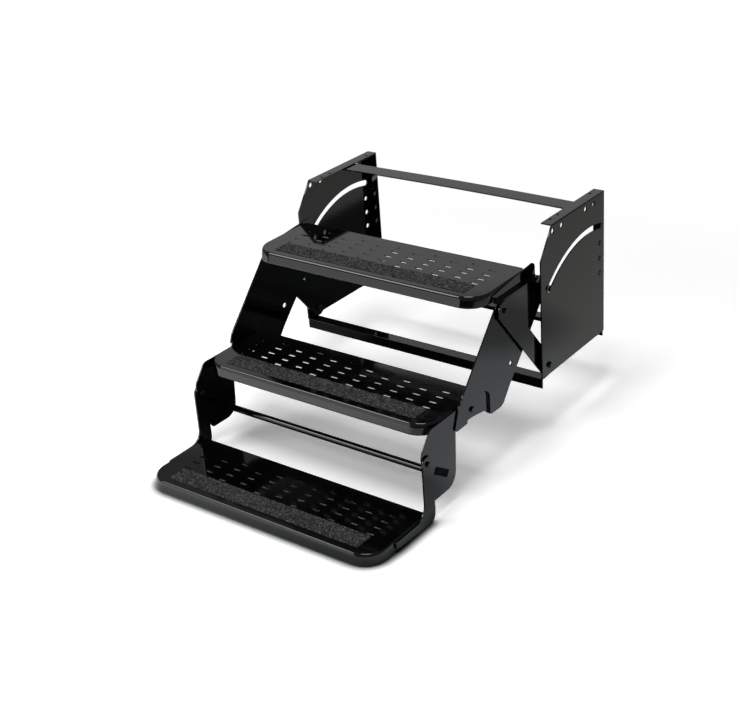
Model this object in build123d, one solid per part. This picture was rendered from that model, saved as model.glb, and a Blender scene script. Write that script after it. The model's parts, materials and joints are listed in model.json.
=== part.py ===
from build123d import *
import math
import os

os.makedirs("parts", exist_ok=True)

# A folding three-tread camper entry step, in millimetres. X runs across the
# step, Y from the foot of the stairs towards the vehicle, Z up.
# Every size below is measured from the front lower corner of a frame plate.
# On export the origin moves to the middle of the top mounting plane.

# Frame
overall_width = 609.6
plate_depth = 262.0
plate_height = 318.0
plate_thickness = 3.0
front_kink_height = 255.0
front_slant_run = 45.0
flange_width = 25.0
rear_flange_foot = 20.0
bend_radius = 2.5
strap_width = 42.0
strap_thickness = 3.0
strap_centre_y = 163.0
strap_end_gap = 4.0
angle_depth = 25.0
angle_height = 22.0
angle_wall = 3.0
angle_end_gap = 0.0
front_angle_inset = 1.5
rear_angle_rise = 8.0
mount_hole_radius = 5.5
top_hole_drop = 14.0
front_pair_y = 48.0
rear_pair_y = 181.0
pair_spacing = 35.0
column_y = 241.0
column_top_z = 209.0
column_pitch = 33.7
flange_hole_radius = 3.5
flange_hole_ys = (70.0, 99.0, 233.0)

# Swing links and the carriage that they carry
link_foot_y = 27.3
link_foot_z = 21.0
link_length = 231.5
link_angle = 129.7
link_width = 41.6
link_thickness = 3.0
link_gap = 6.3
link_swing = 56.0
nose_down_share = 0.10
side_gap = 3.7
side_thickness = 3.0
roller_run = 150.6
roller_drop = 11.1
roller_radius = 6.0
roller_clearance = 0.5
roller_face = 4.0
track_arcs = 4
ear_radius = 12.0
spare_hole_back = 26.6
spare_hole_drop = 124.1
spare_hole_radius = 5.5

# Treads
tread_depth = 174.0
tread_lip = 24.0
tread_sheet = 2.5
front_corner_radius = 46.0
rear_corner_radius = 12.0
tread_edge_chamfer = 3.0
lip_draft = 10.0
top_tread_lead = 62.4
deck_over_link_head = 42.9
first_run_length = 180.0
first_rise_height = 182.5
second_run_length = 195.0
second_rise_height = 168.5
slot_columns = 11
slot_rows = 4
column_spacing = 45.4
row_spacing = 22.4
first_row_inset = 41.5
perforation_length = 19.0
perforation_width = 6.0
grip_width = 42.0
grip_inset = 17.0
grip_thickness = 1.0
grip_half_length = 234.0
bracket_thickness = 3.0
bracket_lead = 17.4
bracket_length = 156.0
bracket_front_height = 18.0
bracket_rear_height = 32.0

# Middle stage: plates that hang the middle tread, and their cross rod
middle_pivot_lead = 109.4
middle_pivot_drop = 162.1
neck_radius = 20.0
hook_thickness = 3.0
hook_foot_drop = 132.0
hook_front_rim = 13.0
rest_pad_length = 44.0
rest_pad_width = 15.0
rest_pad_thickness = 2.0
rest_pad_slope = -34.0
rest_pad_back = 47.0
rest_pad_drop = 42.0
pad_clearance = 0.3
arm_gap = 0.8
hook_gap = 0.2
rod_radius = 7.0
rod_lead = 72.0
rod_drop = 113.0
shelf_length = 26.0
shelf_thickness = 3.0
shelf_lead = 20.0

# Bottom stage: arms that carry the bottom tread
bottom_pivot_lead = 152.0
bottom_pivot_drop = 41.0
arm_thickness = 4.0
arm_width = 32.0
arm_foot_reach = 110.0
arm_heel_drop = 23.0
arm_toe_drop = 16.0
arm_foot_over_tread = -2.0
stop_tab_thickness = 4.0
stop_tab_height = 26.0
stop_tab_drop = 34.0
stop_tab_reach = 11.0

# Bolts
shank_radius = 4.0
bolt_play = 0.05
head_flats = 10.5
head_height = 4.0
nut_flats = 12.0
nut_height = 4.5
flange_radius = 8.0
flange_thickness = 1.2
shoulder_radius = 8.0

# Layers from the frame plate inwards, on the right-hand side
plate_out = overall_width / 2
plate_in = plate_out - plate_thickness
link_out = plate_in - link_gap
link_in = link_out - link_thickness
side_out = link_in - side_gap
side_in = side_out - side_thickness
arm_out = side_in - arm_gap
arm_in = arm_out - arm_thickness
hook_out = arm_in - hook_gap
hook_in = hook_out - hook_thickness
pad_in = hook_out + pad_clearance
pad_out = pad_in + side_thickness
hole_radius = shank_radius + bolt_play

# Pivots, as (y, z)
link_foot = (link_foot_y, link_foot_z)
link_head = (
    link_foot_y + link_length * math.cos(math.radians(link_angle)),
    link_foot_z + link_length * math.sin(math.radians(link_angle)),
)
roller = (link_head[0] + roller_run, link_head[1] - roller_drop)
middle_pivot_y = link_head[0] - middle_pivot_lead
middle_pivot_z = link_head[1] - middle_pivot_drop
middle_pivot = (middle_pivot_y, middle_pivot_z)
bottom_pivot_y = middle_pivot_y - bottom_pivot_lead
bottom_pivot_z = middle_pivot_z - bottom_pivot_drop
bottom_pivot = (bottom_pivot_y, bottom_pivot_z)
rod_y = middle_pivot_y - rod_lead
rod_z = middle_pivot_z - rod_drop
spare_hole = (link_head[0] + spare_hole_back, link_head[1] - spare_hole_drop)

# Decks of the three treads, and the seat under the top one
top_tread_front = link_head[0] - top_tread_lead
top_tread_z = link_head[1] + deck_over_link_head
middle_front = top_tread_front - first_run_length
middle_z = top_tread_z - first_rise_height
bottom_front = middle_front - second_run_length
bottom_z = middle_z - second_rise_height
side_top_z = top_tread_z - tread_lip - 2.0
bracket_front_y = link_head[0] - bracket_lead
bracket_rear_y = bracket_front_y + bracket_length
hook_foot_z = middle_pivot_z - hook_foot_drop


def sheet(outline, x_inner, thickness):
    """A flat plate parallel to the Y-Z plane, thickened outwards."""
    return extrude(Plane.YZ.offset(x_inner) * outline, thickness)


def rounded(points, radii):
    """A closed outline in (y, z) with a radius at each corner."""
    path = FilletPolyline(*points, radius=radii, close=True)
    return make_face(path)


def across(centre, radius, x_start, x_end):
    """A round bar along X through (y, z)."""
    bar = extrude(Plane.YZ.offset(x_start) * Circle(radius), x_end - x_start)
    return Pos(0, centre[0], centre[1]) * bar


def ring(centre, outer, inner, x_start, x_end):
    """A washer, spacer or roller along X."""
    return across(centre, outer, x_start, x_end) - across(centre, inner, x_start, x_end)


def hexagon(centre, flats, x_start, x_end):
    """A hexagonal bolt head or nut along X."""
    face = RegularPolygon(flats / math.sqrt(3), 6)
    bar = extrude(Plane.YZ.offset(x_start) * face, x_end - x_start)
    return Pos(0, centre[0], centre[1]) * bar


def bolt(centre, x_tip, x_seat, head_sign=1):
    """A hexagon bolt whose head sits on x_seat and whose tip is at x_tip."""
    head_end = x_seat + head_sign * head_height
    low, high = sorted((x_seat, head_end))
    start, end = sorted((x_tip, x_seat))
    return across(centre, shank_radius, start, end) + hexagon(centre, head_flats, low, high)


def flange(centre, x_start):
    """The round flange under the head of a bolt."""
    return across(centre, flange_radius, x_start, x_start + flange_thickness)


def shoulder(centre, x_start, x_end):
    """The thick shoulder of a bolt, which keeps two plates apart."""
    return across(centre, shoulder_radius, x_start, x_end)


def nut(centre, x_start, x_end):
    """A closed cap nut, which sits against the end of its bolt."""
    return hexagon(centre, nut_flats, x_start, x_end)


def mirrored(piece):
    """The same piece on the left-hand side."""
    return mirror(piece, Plane.YZ)


def both(piece):
    """A right-hand and a left-hand copy as separate solids."""
    return Compound(children=[*piece.solids(), *mirrored(piece).solids()])


def roller_at(swing):
    """Roller centre when the links have swung back by an angle in degrees."""
    link = math.radians(link_angle - swing)
    tilt = math.radians(nose_down_share * swing)
    y = link_foot_y + link_length * math.cos(link)
    z = link_foot_z + link_length * math.sin(link)
    y = y + roller_run * math.cos(tilt) + roller_drop * math.sin(tilt)
    z = z + roller_run * math.sin(tilt) - roller_drop * math.cos(tilt)
    return (y, z)


def roller_track():
    """The guide slot: the roller's path with its clearance on both sides."""
    half = roller_radius + roller_clearance
    upper = []
    lower = []
    for i in range(track_arcs * 2 + 1):
        swing = link_swing * i / (track_arcs * 2)
        here = roller_at(swing)
        before = roller_at(swing - 0.5)
        after = roller_at(swing + 0.5)
        length = math.hypot(after[0] - before[0], after[1] - before[1])
        ty = (after[0] - before[0]) / length
        tz = (after[1] - before[1]) / length
        upper.append((here[0] - tz * half, here[1] + ty * half))
        lower.append((here[0] + tz * half, here[1] - ty * half))
        if i == 0:
            start_tip = (here[0] - ty * half, here[1] - tz * half)
        end_tip = (here[0] + ty * half, here[1] + tz * half)
    edges = []
    for i in range(0, track_arcs * 2, 2):
        edges.append(ThreePointArc(upper[i], upper[i + 1], upper[i + 2]))
    edges.append(ThreePointArc(upper[-1], end_tip, lower[-1]))
    for i in range(track_arcs * 2, 0, -2):
        edges.append(ThreePointArc(lower[i], lower[i - 1], lower[i - 2]))
    edges.append(ThreePointArc(lower[0], start_tip, upper[0]))
    return make_face(Wire([e.edge() for e in edges]))


# Frame plates with their inward flanges, guide slots and bolt holes
plate_outline = Polygon(
    (0, 0),
    (plate_depth, 0),
    (plate_depth, plate_height),
    (front_slant_run, plate_height),
    (0, front_kink_height),
    align=None,
)
flange_in = plate_out - flange_width
frame_plate = sheet(plate_outline, plate_in, plate_thickness)
top_flange = Box(
    flange_width,
    plate_depth - front_slant_run,
    plate_thickness,
    align=(Align.MIN, Align.MIN, Align.MAX),
)
frame_plate = frame_plate + Pos(flange_in, front_slant_run, plate_height) * top_flange
rear_flange = Box(
    flange_width,
    plate_thickness,
    plate_height - rear_flange_foot,
    align=(Align.MIN, Align.MAX, Align.MIN),
)
frame_plate = frame_plate + Pos(flange_in, plate_depth, rear_flange_foot) * rear_flange
bend_edges = [
    e for e in frame_plate.edges()
    if abs(e.center().X - plate_out) < 0.01
    and (abs(e.center().Z - plate_height) < 0.01 or
         (abs(e.center().Y - plate_depth) < 0.01 and e.center().Z > rear_flange_foot))
]
frame_plate = fillet(bend_edges, bend_radius)
frame_plate = frame_plate - sheet(roller_track(), plate_in - 1, plate_thickness + 2)
frame_plate = frame_plate - across(link_foot, hole_radius, plate_in - 1, plate_out + 1)
top_hole_z = plate_height - top_hole_drop
for first in (front_pair_y, rear_pair_y):
    for y in (first, first + pair_spacing):
        frame_plate = frame_plate - across((y, top_hole_z), mount_hole_radius, plate_in - 1, plate_out + 1)
for i in range(3):
    spot = (column_y, column_top_z - i * column_pitch)
    frame_plate = frame_plate - across(spot, mount_hole_radius, plate_in - 1, plate_out + 1)
for y in flange_hole_ys:
    drill = Cylinder(flange_hole_radius, 3 * plate_thickness)
    frame_plate = frame_plate - Pos(flange_in + 7.0, y, plate_height) * drill

# Cross members of the frame
top_strap = Pos(0, strap_centre_y, plate_height - plate_thickness) * Box(
    2 * (plate_in - strap_end_gap),
    strap_width,
    strap_thickness,
    align=(Align.CENTER, Align.CENTER, Align.MAX),
)
front_angle_points = [
    (0, 0),
    (0, -angle_height),
    (angle_wall, -angle_height),
    (angle_wall, -angle_wall),
    (angle_depth, -angle_wall),
    (angle_depth, 0),
]
front_section = Polygon(*front_angle_points, align=None)
front_half = plate_out - front_angle_inset
front_cross_angle = extrude(Plane.YZ.offset(-front_half) * front_section, 2 * front_half)
rear_angle_points = [
    (plate_depth - y, z + rear_angle_rise) for y, z in reversed(front_angle_points)
]
rear_section = Polygon(*rear_angle_points, align=None)
rear_half = plate_in - angle_end_gap
rear_cross_angle = extrude(Plane.YZ.offset(-rear_half) * rear_section, 2 * rear_half)

# Swing links
link_middle = ((link_foot[0] + link_head[0]) / 2, (link_foot[1] + link_head[1]) / 2)
link_outline = Pos(*link_middle) * Rot(0, 0, link_angle) * SlotCenterToCenter(link_length, link_width)
link_arm = sheet(link_outline, link_in, link_thickness)
for pivot in (link_foot, link_head):
    link_arm = link_arm - across(pivot, hole_radius, link_in - 1, link_out + 1)

# Side plates of the carriage, joggled inwards round the middle pivot
ear_y = roller[0] + ear_radius
side_points = [
    (link_head[0] - 19.5, side_top_z),
    (ear_y, side_top_z),
    (ear_y, roller[1] - ear_radius),
    (middle_pivot_y + 129.0, middle_pivot_z - 8.0),
    (middle_pivot_y + 102.0, middle_pivot_z - 40.0),
    (middle_pivot_y + 60.0, middle_pivot_z - 38.0),
    (middle_pivot_y + 43.0, middle_pivot_z - 24.0),
    (middle_pivot_y - shelf_lead + 4.0, middle_pivot_z - 14.5),
    (middle_pivot_y - shelf_lead + 4.0, middle_pivot_z - neck_radius - shelf_thickness),
    (middle_pivot_y - shelf_lead - shelf_length - 6.0, middle_pivot_z - neck_radius - shelf_thickness),
    (middle_pivot_y - shelf_lead - shelf_length - 12.0, middle_pivot_z - neck_radius + 3.0),
    (middle_pivot_y - 36.0, middle_pivot_z + 42.0),
]
side_radii = [15.0, 10.0, 11.0, 30.0, 24.0, 8.0, 8.0, 2.0, 1.5, 2.0, 3.0, 30.0]
side_outline = rounded(side_points, side_radii)
pad_rear_y = middle_pivot_y + 57.0
pad_top_z = middle_pivot_z + 23.0
pad_front_y = middle_pivot_y - 80.0
pad_foot_z = middle_pivot_z - 57.0
pad_points = [
    (pad_rear_y, pad_foot_z),
    (pad_rear_y, pad_top_z),
    (pad_front_y, pad_top_z),
    (pad_front_y, pad_foot_z),
]
pad_outline = rounded(pad_points, [1.0, 24.0, 1.0, 1.0])
wall_points = [
    (pad_rear_y + side_thickness, pad_foot_z - side_thickness),
    (pad_rear_y + side_thickness, pad_top_z + side_thickness),
    (pad_front_y - side_thickness, pad_top_z + side_thickness),
    (pad_front_y - side_thickness, pad_foot_z - side_thickness),
]
wall_outline = rounded(wall_points, [1.0, 27.0, 1.0, 1.0])
outer_sheet = sheet(side_outline, side_in, side_thickness)
outer_sheet = outer_sheet - sheet(pad_outline, side_in - 1, side_thickness + 2)
pad_sheet = sheet(side_outline & pad_outline, pad_in, side_thickness)
joggle_wall = sheet((side_outline & wall_outline) - pad_outline, pad_in, side_out - pad_in)
side_plate = outer_sheet + pad_sheet + joggle_wall
shelf_top = middle_pivot_z - neck_radius
shelf_rear = middle_pivot_y - shelf_lead
shelf = Pos(hook_in - 0.5, shelf_rear, shelf_top) * Box(
    pad_out - hook_in + 0.5,
    shelf_length,
    shelf_thickness,
    align=(Align.MIN, Align.MAX, Align.MAX),
)
side_plate = side_plate + shelf
for pivot in (link_head, roller):
    side_plate = side_plate - across(pivot, hole_radius, side_in - 1, side_out + 1)
side_plate = side_plate - across(middle_pivot, hole_radius, pad_in - 1, side_out + 1)
side_plate = side_plate - across(spare_hole, spare_hole_radius, side_in - 1, side_out + 1)

# Brackets that seat the top tread on the side plates
bracket_points = [
    (bracket_front_y, side_top_z),
    (bracket_rear_y, side_top_z),
    (bracket_rear_y, side_top_z + bracket_rear_height),
    (bracket_front_y, side_top_z + bracket_front_height),
]
bracket_face = rounded(bracket_points, [1.0, 1.0, 12.0, 6.0])
tread_bracket = sheet(bracket_face, hook_in, bracket_thickness)
bracket_foot = Pos(hook_in, bracket_front_y, side_top_z) * Box(
    side_out - hook_in,
    bracket_rear_y - bracket_front_y,
    bracket_thickness,
    align=(Align.MIN, Align.MIN, Align.MIN),
)
tread_bracket = tread_bracket + bracket_foot


def pan_plan(half_width, front_y, height, drop, inset):
    """Outline of a tread pan at a height, its front and rear drafted outward by the drop."""
    flare = drop * math.tan(math.radians(lip_draft))
    rear = front_y + tread_depth + flare - inset
    front = front_y - flare + inset
    side = half_width - inset
    corners = [(-side, rear), (side, rear), (side, front), (-side, front)]
    radii = [rear_corner_radius, rear_corner_radius, front_corner_radius, front_corner_radius]
    return Plane.XY.offset(height) * rounded(corners, [r - inset for r in radii])


def tread_pan(half_width, front_y, top_z):
    """A pressed tread: deck, turned-down drafted lip all round and staggered slots."""
    rear_y = front_y + tread_depth
    foot_z = top_z - tread_lip
    depth = tread_lip - tread_sheet
    outer_foot = pan_plan(half_width, front_y, foot_z, tread_lip, 0.0)
    bend = tread_edge_chamfer
    outer_bend = pan_plan(half_width, front_y, top_z - bend, bend, 0.0)
    outer_top = pan_plan(half_width, front_y, top_z, 0.0, bend)
    block = loft([outer_foot, outer_bend, outer_top], ruled=True)
    inner_foot = pan_plan(half_width, front_y, foot_z, tread_lip, tread_sheet)
    inner_top = pan_plan(half_width, front_y, foot_z + depth, tread_sheet, tread_sheet)
    pan = block - loft([inner_foot, inner_top], ruled=True)
    end = perforation_length / 2
    side = perforation_width / 2
    hole = Polygon(
        (-end, 0), (side - end, -side), (end - side, -side),
        (end, 0), (end - side, side), (side - end, side),
        align=None,
    )
    punches = []
    for column in range(slot_columns):
        x = (column - (slot_columns - 1) / 2) * column_spacing
        shift = row_spacing / 2 if column % 2 else 0.0
        for row in range(slot_rows):
            y = rear_y - first_row_inset + shift - row * row_spacing
            punches.append(Pos(x, y) * hole)
    punch = extrude(Plane.XY.offset(top_z - 2 * tread_sheet) * Sketch(children=punches), 4 * tread_sheet)
    return pan - punch


def grip_strip(front_y, top_z):
    """The gritted strip stuck along the front of a tread."""
    strip = Box(
        2 * grip_half_length,
        grip_width,
        grip_thickness,
        align=(Align.CENTER, Align.MIN, Align.MIN),
    )
    return Pos(0, front_y + grip_inset, top_z) * strip


top_tread = tread_pan(hook_in, top_tread_front, top_tread_z)
middle_tread = tread_pan(hook_in, middle_front, middle_z)
nut_room = nut_flats / math.sqrt(3) + 2.0
middle_tread = middle_tread - across(middle_pivot, nut_room, -hook_in - 1, hook_in + 1)
bottom_tread = tread_pan(arm_in, bottom_front, bottom_z)

# Hook plates under the middle tread
neck_top = middle_pivot_z + neck_radius
neck_bottom = middle_pivot_z - neck_radius
hook_points = [
    (middle_pivot_y + neck_radius, neck_top),
    (middle_pivot_y + neck_radius, neck_bottom),
    (rod_y + 20.0, neck_bottom),
    (rod_y + 13.0, hook_foot_z),
    (rod_y - 59.0, hook_foot_z),
    (bottom_pivot_y - hook_front_rim + 3.0, bottom_pivot_z - 47.0),
    (bottom_pivot_y - hook_front_rim, bottom_pivot_z + 23.0),
    (bottom_pivot_y + 17.0, neck_top),
]
hook_radii = [neck_radius - 0.1, neck_radius - 0.1, 3.0, 30.0, 8.0, 30.0, 24.0, 21.0]
hook_plate = sheet(rounded(hook_points, hook_radii), hook_in, hook_thickness)
stop_tab = Pos(hook_in, bottom_pivot_y + arm_width / 2, bottom_pivot_z - stop_tab_drop) * Box(
    hook_thickness + hook_gap + arm_thickness - 0.5,
    stop_tab_thickness,
    stop_tab_height,
    align=(Align.MIN, Align.MIN, Align.MAX),
)
hook_plate = hook_plate + stop_tab
for pivot in (middle_pivot, bottom_pivot):
    hook_plate = hook_plate - across(pivot, hole_radius, hook_in - 1, hook_out + 1)
cross_rod = across((rod_y, rod_z), rod_radius, -hook_in, hook_in)

# Arms of the bottom tread: a leg, a rounded heel and a foot along the tread
arm_half = arm_width / 2
foot_top = bottom_z + arm_foot_over_tread
arm_points = [
    (bottom_pivot_y + arm_half, bottom_pivot_z + arm_half),
    (bottom_pivot_y + arm_half, bottom_z - arm_heel_drop),
    (bottom_pivot_y - 20.0, bottom_z - arm_heel_drop),
    (bottom_pivot_y - arm_foot_reach, bottom_z - arm_toe_drop),
    (bottom_pivot_y - arm_foot_reach, foot_top),
    (bottom_pivot_y - arm_half, foot_top),
    (bottom_pivot_y - arm_half, bottom_pivot_z + arm_half),
]
arm_radii = [arm_half - 0.1, 18.0, 30.0, 5.0, 5.0, 26.0, arm_half - 0.1]
bottom_arm = sheet(rounded(arm_points, arm_radii), arm_in, arm_thickness)
bottom_arm = bottom_arm - across(bottom_pivot, hole_radius, arm_in - 1, arm_out + 1)

# Rest pads on the outer faces of the hook plates
pad_plan = Rot(0, 0, rest_pad_slope) * Rectangle(rest_pad_length, rest_pad_width)
rest_pad_centre = (bottom_pivot_y + rest_pad_back, bottom_pivot_z - rest_pad_drop)
rest_pad = sheet(Pos(*rest_pad_centre) * pad_plan, hook_out, rest_pad_thickness)

# Link foot pivots, fixed in the frame plates
link_foot_bolt = bolt(link_foot, link_in - 0.1, plate_out + flange_thickness)
link_foot_bolt = link_foot_bolt + flange(link_foot, plate_out)
link_foot_bolt = link_foot_bolt + shoulder(link_foot, link_out + 0.1, plate_in)
link_foot_nut = nut(link_foot, link_in - nut_height - 0.1, link_in - 0.1)

# Link head pivots, fixed in the carriage
link_head_bolt = bolt(link_head, side_in, link_out + 0.1)
link_head_bolt = link_head_bolt + shoulder(link_head, side_out, link_in - 0.1)
link_head_nut = nut(link_head, side_in - nut_height, side_in)

# Rollers in the guide slots
roller_in = plate_in - 0.5
roller_out = roller_in + roller_face
slot_roller = ring(roller, roller_radius, hole_radius, roller_in, roller_out)
roller_bolt = bolt(roller, side_in, roller_out + flange_thickness)
roller_bolt = roller_bolt + flange(roller, roller_out)
roller_bolt = roller_bolt + shoulder(roller, side_out, roller_in)
roller_nut = nut(roller, side_in - nut_height, side_in)

# Middle pivots, fixed in the pads of the side plates
middle_bolt = bolt(middle_pivot, hook_in - 0.1, pad_out)
middle_nut = nut(middle_pivot, hook_in - nut_height - 0.1, hook_in - 0.1)

# Bottom pivots, fixed in the hook plates
bottom_bolt = bolt(bottom_pivot, hook_in, arm_out + 0.1)
bottom_nut = nut(bottom_pivot, hook_in - nut_height, hook_in)

nodes = {
    "frame_plate_right": frame_plate,
    "frame_plate_left": mirrored(frame_plate),
    "top_strap": top_strap,
    "front_cross_angle": front_cross_angle,
    "rear_cross_angle": rear_cross_angle,
    "link_foot_bolts": both(link_foot_bolt),
    "link_foot_nuts": both(link_foot_nut),
    "link_arm_right": link_arm,
    "link_arm_left": mirrored(link_arm),
    "side_plate_right": side_plate,
    "side_plate_left": mirrored(side_plate),
    "tread_bracket_right": tread_bracket,
    "tread_bracket_left": mirrored(tread_bracket),
    "top_tread": top_tread,
    "top_grip_strip": grip_strip(top_tread_front, top_tread_z),
    "link_head_bolts": both(link_head_bolt),
    "link_head_nuts": both(link_head_nut),
    "slot_rollers": both(slot_roller),
    "roller_bolts": both(roller_bolt),
    "roller_nuts": both(roller_nut),
    "middle_pivot_bolts": both(middle_bolt),
    "middle_pivot_nuts": both(middle_nut),
    "hook_plate_right": hook_plate,
    "hook_plate_left": mirrored(hook_plate),
    "hook_rest_pads": both(rest_pad),
    "cross_rod": cross_rod,
    "middle_tread": middle_tread,
    "middle_grip_strip": grip_strip(middle_front, middle_z),
    "bottom_pivot_bolts": both(bottom_bolt),
    "bottom_pivot_nuts": both(bottom_nut),
    "bottom_arm_right": bottom_arm,
    "bottom_arm_left": mirrored(bottom_arm),
    "bottom_tread": bottom_tread,
    "bottom_grip_strip": grip_strip(bottom_front, bottom_z),
}

# The origin sits in the middle of the top mounting plane
to_origin = Pos(0, -plate_depth / 2, -plate_height)
for name, piece in nodes.items():
    export_step(to_origin * piece, os.path.join("parts", name + ".step"))
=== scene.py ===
import json
import math

import bmesh
import bpy
from mathutils import Matrix, Vector


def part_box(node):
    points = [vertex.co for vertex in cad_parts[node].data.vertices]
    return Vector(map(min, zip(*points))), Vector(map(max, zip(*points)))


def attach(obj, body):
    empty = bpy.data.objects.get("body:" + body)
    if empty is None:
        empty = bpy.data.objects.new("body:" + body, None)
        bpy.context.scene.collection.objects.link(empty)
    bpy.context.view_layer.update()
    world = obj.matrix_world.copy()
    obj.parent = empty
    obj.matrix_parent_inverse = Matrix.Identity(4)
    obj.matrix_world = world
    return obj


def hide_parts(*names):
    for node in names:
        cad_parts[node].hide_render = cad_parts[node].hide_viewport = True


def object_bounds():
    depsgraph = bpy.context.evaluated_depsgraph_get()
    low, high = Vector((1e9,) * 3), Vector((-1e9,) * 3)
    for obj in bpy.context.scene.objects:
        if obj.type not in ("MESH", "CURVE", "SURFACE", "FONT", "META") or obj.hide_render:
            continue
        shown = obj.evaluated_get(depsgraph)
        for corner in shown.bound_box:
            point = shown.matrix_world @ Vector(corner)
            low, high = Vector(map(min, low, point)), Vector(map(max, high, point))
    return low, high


bl_info = {
    "name": "Camper entry step",
    "version": (1, 0, 0),
    "blender": (4, 5, 0),
    "location": "3D View > Sidebar > Entry Step",
    "description": "Dresses a folding entry step: pressed treads, grit strips, bolts and powder coat",
    "category": "Object",
}

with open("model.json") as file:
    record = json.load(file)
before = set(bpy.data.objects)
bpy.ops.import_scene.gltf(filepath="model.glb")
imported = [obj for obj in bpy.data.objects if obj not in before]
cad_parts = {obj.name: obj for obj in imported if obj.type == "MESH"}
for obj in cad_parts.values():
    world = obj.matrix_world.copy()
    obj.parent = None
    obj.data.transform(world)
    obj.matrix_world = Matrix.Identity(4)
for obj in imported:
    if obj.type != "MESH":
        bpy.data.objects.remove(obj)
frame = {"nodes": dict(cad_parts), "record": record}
CAD_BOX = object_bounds()

# The photograph's camera: place in metres; azimuth, elevation and roll in degrees; sizes in pixels
CAMERA_PLACE = (1.53728, -2.23151, 0.96700)
CAMERA_ANGLES = (37.93830226, 24.45181677, -4.13617789)
PHOTO_SIZE = (738.0, 728.0)
CENTRE_PIXEL = (378.60317, 306.50941)
FOCAL_PIXELS = 1355.4488

# Soft lights: name, place, target, width and height in metres, power in watts
SOFTBOXES = (
    ("key_softbox", (0.22, -1.05, 2.65), (0.05, -0.25, -0.30), 1.3, 1.3, 70.0),
    ("low_left_softbox", (-0.95, -1.85, -0.15), (0.0, -0.25, -0.15), 1.2, 0.6, 3.0),
    ("high_left_softbox", (-1.5, -2.05, 1.15), (0.0, -0.35, -0.15), 1.1, 0.9, 21.0),
    ("back_left_softbox", (-1.9, 2.6, 0.75), (0.0, -0.10, -0.05), 3.6, 1.5, 6.0),
)

# Round patches of painted shadow on the floor, which the plates mirror: middle x and y, two radii, depth
# of shade
PAINTED_SHADOW_PATCHES = (
    (0.66, 0.27, 0.10, 0.20, 0.55),
    (0.38, -0.45, 0.06, 0.12, 0.55),
    (-0.38, -0.32, 0.10, 0.16, 0.85),
)

# The studio's air: its own light, its share in mirrored rays, the paper's lift and two reaches of painted
# shade
WORLD_FILL = 0.06
MIRRORED_SHARE = 0.15
PAPER_LIFT = 0.43
AIR_REACH = 0.30
CONTACT_REACH = 0.022

# Segments of round shapes, and the seeds of what is scattered
CORNER_STEPS = 14
STRIP_CORNER_STEPS = 5
ROLL_STEPS = 8
STRAP_STEPS = 48
ROD_WELD_STEPS = 20
GRAIN_SEED = 11
ANGLE_WELD_SEED = 21
ROD_WELD_SEED = 22


# Shader and geometry trees


class Value:
    """An output socket. Arithmetic on it adds Math nodes to its tree."""

    def __init__(self, maker, socket):
        self.maker = maker
        self.socket = socket

    def _math(self, operation, first, second):
        node = self.maker.add("ShaderNodeMath", {"operation": operation}, {0: first, 1: second})
        return self.maker.out(node, 0)

    def __add__(self, other):
        return self._math("ADD", self, other)

    def __radd__(self, other):
        return self._math("ADD", other, self)

    def __sub__(self, other):
        return self._math("SUBTRACT", self, other)

    def __rsub__(self, other):
        return self._math("SUBTRACT", other, self)

    def __mul__(self, other):
        return self._math("MULTIPLY", self, other)

    def __rmul__(self, other):
        return self._math("MULTIPLY", other, self)

    def __truediv__(self, other):
        return self._math("DIVIDE", self, other)

    def power(self, other):
        return self._math("POWER", self, other)

    def above(self, other):
        return self._math("GREATER_THAN", self, other)

    def modulo(self, other):
        return self._math("FLOORED_MODULO", self, other)

    def rounded(self):
        return self._math("ROUND", self, 0.0)


class Maker:
    """Adds nodes to one shader or geometry tree."""

    def __init__(self, tree):
        self.tree = tree

    def add(self, kind, settings=None, values=None):
        """Add a node, set its settings first, then the values or links of its sockets."""
        node = self.tree.nodes.new(kind)
        for name, value in (settings or {}).items():
            setattr(node, name, value)
        for name, value in (values or {}).items():
            self.plug(node.inputs[name], value)
        return node

    def plug(self, socket, value):
        """Link a Value to a socket, or set the socket's own number."""
        if isinstance(value, (list, tuple)) and value and isinstance(value[0], Value):
            for item in value:
                self.tree.links.new(item.socket, socket)
        elif isinstance(value, Value):
            self.tree.links.new(value.socket, socket)
        else:
            socket.default_value = value

    def out(self, node, name=0):
        return Value(self, node.outputs[name])

    def noise(self, where, scale, detail=2.0, roughness=0.5):
        node = self.add(
            "ShaderNodeTexNoise",
            {"noise_dimensions": "3D"},
            {"Vector": where, "Scale": scale, "Detail": detail, "Roughness": roughness},
        )
        return self.out(node, "Fac")

    def blend_colour(self, factor, first, second):
        node = self.add(
            "ShaderNodeMix",
            {"data_type": "RGBA", "blend_type": "MIX"},
            {"Factor": factor, 6: first, 7: second},
        )
        return self.out(node, 2)

    def remap(self, value, low, high, to_low, to_high):
        node = self.add(
            "ShaderNodeMapRange",
            {"clamp": True},
            {"Value": value, "From Min": low, "From Max": high, "To Min": to_low, "To Max": to_high},
        )
        return self.out(node, 0)

    def bump(self, height, strength, distance):
        values = {"Height": height, "Strength": strength, "Distance": distance}
        return self.out(self.add("ShaderNodeBump", None, values), 0)


def new_material(name):
    """An empty material with its maker, object coordinates and output node."""
    material = bpy.data.materials.new(name)
    material.use_nodes = True
    material.node_tree.nodes.clear()
    maker = Maker(material.node_tree)
    output = maker.add("ShaderNodeOutputMaterial")
    where = maker.out(maker.add("ShaderNodeTexCoord"), "Object")
    return material, maker, output, where


def grey(level):
    return (level, level, level, 1.0)


def principled(material, m, output, values, specular=None):
    """Finish a material with one Principled shader; the specular level is a plain number."""
    shader = m.add("ShaderNodeBsdfPrincipled", None, values)
    if specular is not None:
        shader.inputs["Specular IOR Level"].default_value = specular
    m.plug(output.inputs[0], m.out(shader))
    return material


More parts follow.
